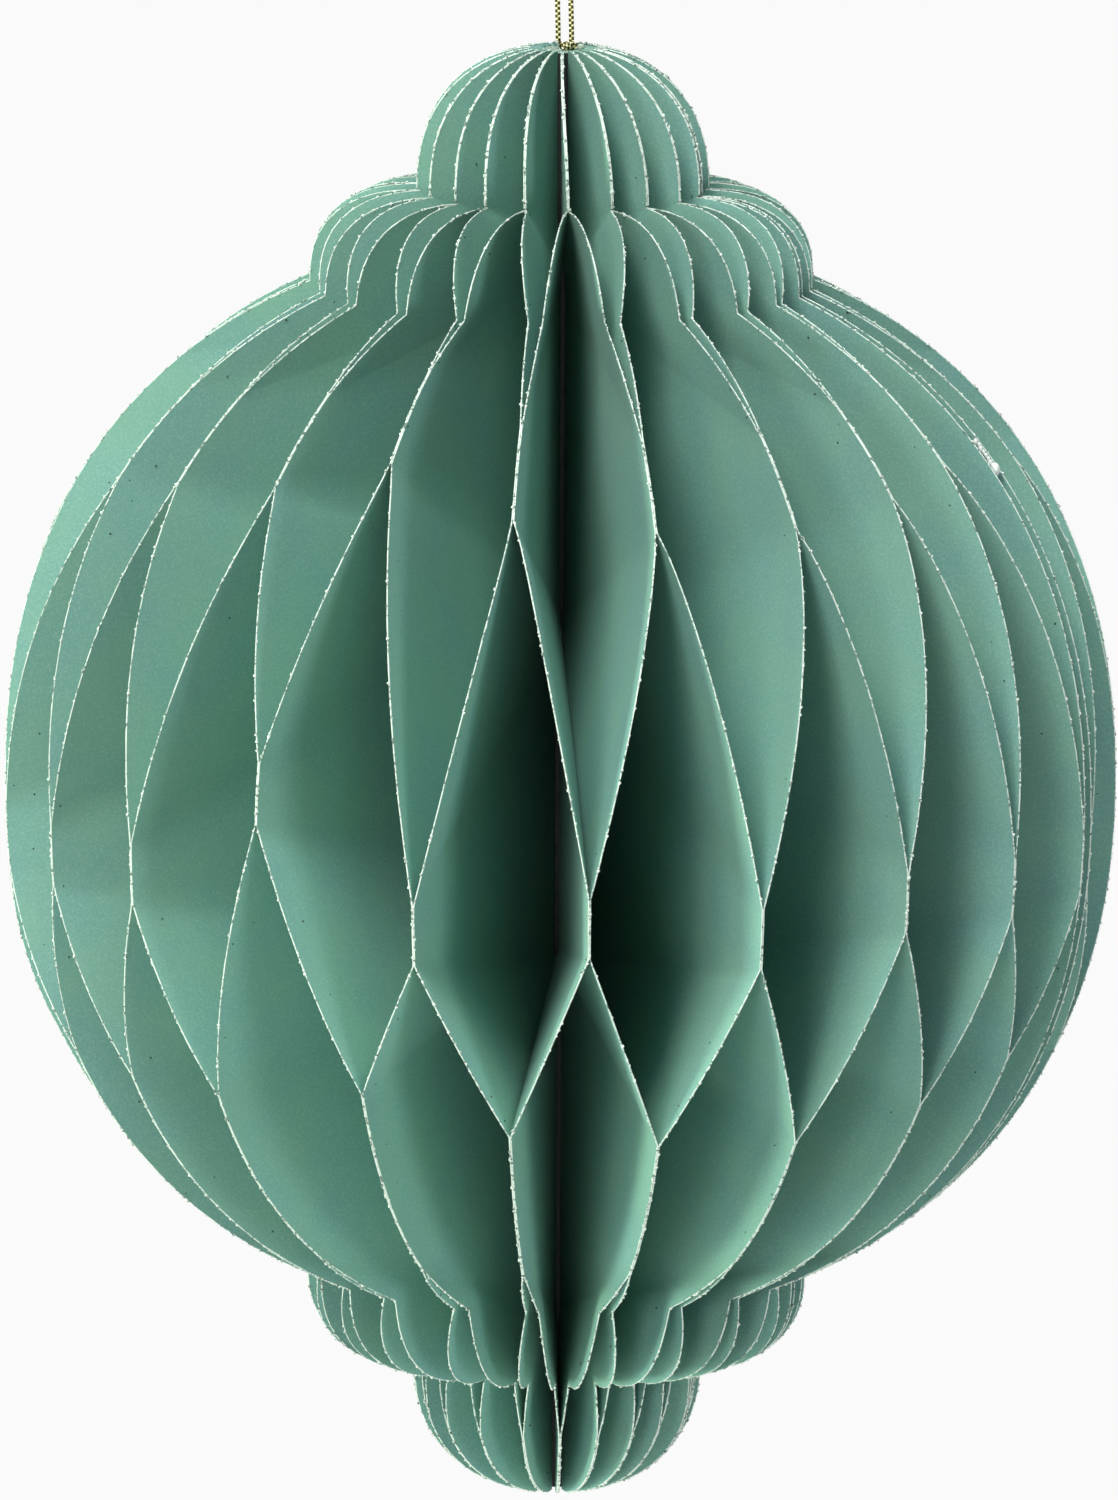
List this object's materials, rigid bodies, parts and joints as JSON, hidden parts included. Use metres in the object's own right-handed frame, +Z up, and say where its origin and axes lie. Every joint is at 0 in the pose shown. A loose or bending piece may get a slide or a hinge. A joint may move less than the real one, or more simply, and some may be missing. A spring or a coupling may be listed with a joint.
{
  "type": "paper onion ornament",
  "caption": "Hanging paper ornament shaped like an onion dome, its die-cut leaves glued in pairs around a spine so that they open into cells, on a short cord loop.",
  "frame": {"origin": "inner top of the hanging loop, where a hook or branch holds the ornament", "axes": "+Z up along the spine, -Y towards the viewer of the picture, +X to the right"},
  "size_m": [0.1994, 0.1993, 0.2826],
  "materials": {
    "paper": "matt uncoated card, sage green, with silver glitter along the cut edges",
    "spine": "folded paper and glue",
    "cord": "twisted metallic thread, gold"
  },
  "bodies": {
    "root": {"spine": "spine", "cord_knot": "cord", "hanging_cord": "cord", "seam_leaf_left": "paper", "seam_leaf_right": "paper", "leaf_01": "paper", "leaf_02": "paper", "leaf_03": "paper", "leaf_04": "paper", "leaf_05": "paper", "leaf_06": "paper", "leaf_07": "paper", "leaf_08": "paper", "leaf_09": "paper", "leaf_10": "paper", "leaf_11": "paper", "leaf_12": "paper", "leaf_13": "paper", "leaf_14": "paper", "leaf_15": "paper", "leaf_16": "paper", "leaf_17": "paper", "leaf_18": "paper", "leaf_19": "paper", "leaf_20": "paper", "leaf_21": "paper", "leaf_22": "paper", "leaf_23": "paper", "leaf_24": "paper", "leaf_25": "paper", "leaf_26": "paper", "leaf_27": "paper", "leaf_28": "paper", "leaf_29": "paper", "leaf_30": "paper", "leaf_31": "paper", "leaf_32": "paper", "leaf_33": "paper", "leaf_34": "paper", "leaf_35": "paper", "leaf_36": "paper", "leaf_37": "paper", "leaf_38": "paper", "leaf_39": "paper", "leaf_40": "paper", "leaf_41": "paper", "leaf_42": "paper"}
  },
  "joints": []
}
